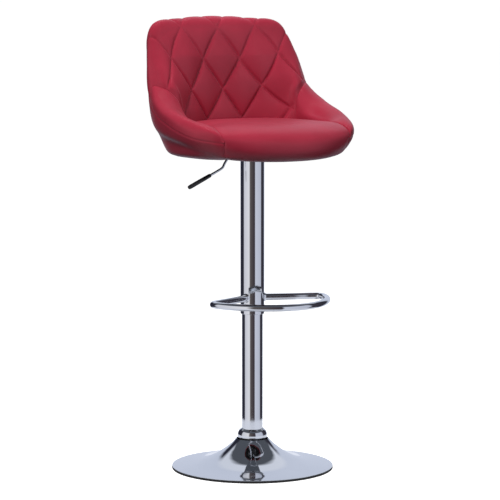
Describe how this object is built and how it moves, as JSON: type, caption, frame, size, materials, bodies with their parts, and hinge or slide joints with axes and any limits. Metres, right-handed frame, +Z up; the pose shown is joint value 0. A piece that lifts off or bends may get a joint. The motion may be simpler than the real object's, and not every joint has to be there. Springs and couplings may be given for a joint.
{
  "type": "adjustable swivel bar stool",
  "caption": "Low-back tub bar stool with quilted back, gas-lift column, footrest loop, release lever and trumpet base.",
  "frame": {"origin": "on the floor, on the column's axis", "axes": "+Z up; the seat faces -Y; +X is the sitter's left; the lever points to -X, the sitter's right"},
  "size_m": [0.4756, 0.4243, 1.074],
  "materials": {
    "chrome": "polished",
    "steel": "machined",
    "black_steel": "black paint",
    "rubber": "matt",
    "black_plastic": "moulded",
    "plywood": "raw plywood",
    "leather": "soft grained burgundy faux leather",
    "felt": "non-woven black"
  },
  "bodies": {
    "base": {"base_shell": "chrome", "base_plate": "black_steel", "floor_ring": "rubber", "socket_tube": "steel", "base_collar": "chrome", "lower_column": "chrome", "column_end_plate": "steel", "bearing_lower_washer": "steel", "guide_bushing": "black_plastic"},
    "rod": {"bearing_cage": "steel", "bearing_upper_washer": "steel", "piston_rod": "steel", "rod_clip": "steel", "piston": "steel", "piston_seal": "rubber"},
    "seat": {"gas_cylinder": "black_steel", "rod_gland": "steel", "upper_sleeve": "chrome", "sleeve_liner": "black_plastic", "sleeve_top_ring": "black_plastic", "footrest_loop": "chrome", "footrest_weld_right": "chrome", "footrest_weld_left": "chrome", "mechanism_plate": "black_steel", "mechanism_hub": "black_steel", "lever_bracket_front": "black_steel", "lever_bracket_rear": "black_steel", "lever_pivot_pin": "steel", "mounting_bolt_1": "steel", "mounting_bolt_2": "steel", "mounting_bolt_3": "steel", "mounting_bolt_4": "steel", "bolt_washer_1": "steel", "bolt_washer_2": "steel", "bolt_washer_3": "steel", "bolt_washer_4": "steel", "t_nut_1": "steel", "t_nut_2": "steel", "t_nut_3": "steel", "t_nut_4": "steel", "seat_board": "plywood", "back_shell": "plywood", "dust_cover": "felt", "seat_cushion": "leather", "back_pad": "leather", "bolster_right": "leather", "bolster_left": "leather", "outer_cover": "leather"},
    "lever": {"lever_rod": "chrome", "lever_grip": "black_plastic"},
    "valve": {"release_pin": "steel"}
  },
  "joints": [
    {"name": "seat_swivel", "type": "hinge", "parent": "base", "child": "rod", "pos_m": [0, 0, 0.0215], "axis": [0, 0, 1], "continuous": true},
    {"name": "height_lift", "type": "slide", "parent": "rod", "child": "seat", "axis": [0, 0, 1], "range_m": [-0.21, 0]},
    {"name": "lever_pivot", "type": "hinge", "parent": "seat", "child": "lever", "pos_m": [-0.034, 0, 0.7545], "axis": [0, 1, 0], "range_deg": [0, 8], "stiffness_Nm_per_rad": 1, "springref_deg": -17.19},
    {"name": "release_pin_travel", "type": "slide", "parent": "seat", "child": "valve", "axis": [0, 0, 1], "range_m": [-0.005, 0]}
  ],
  "couplings": [
    {"joint": "release_pin_travel", "follows": "lever_pivot", "m_per_rad": -0.034}
  ]
}
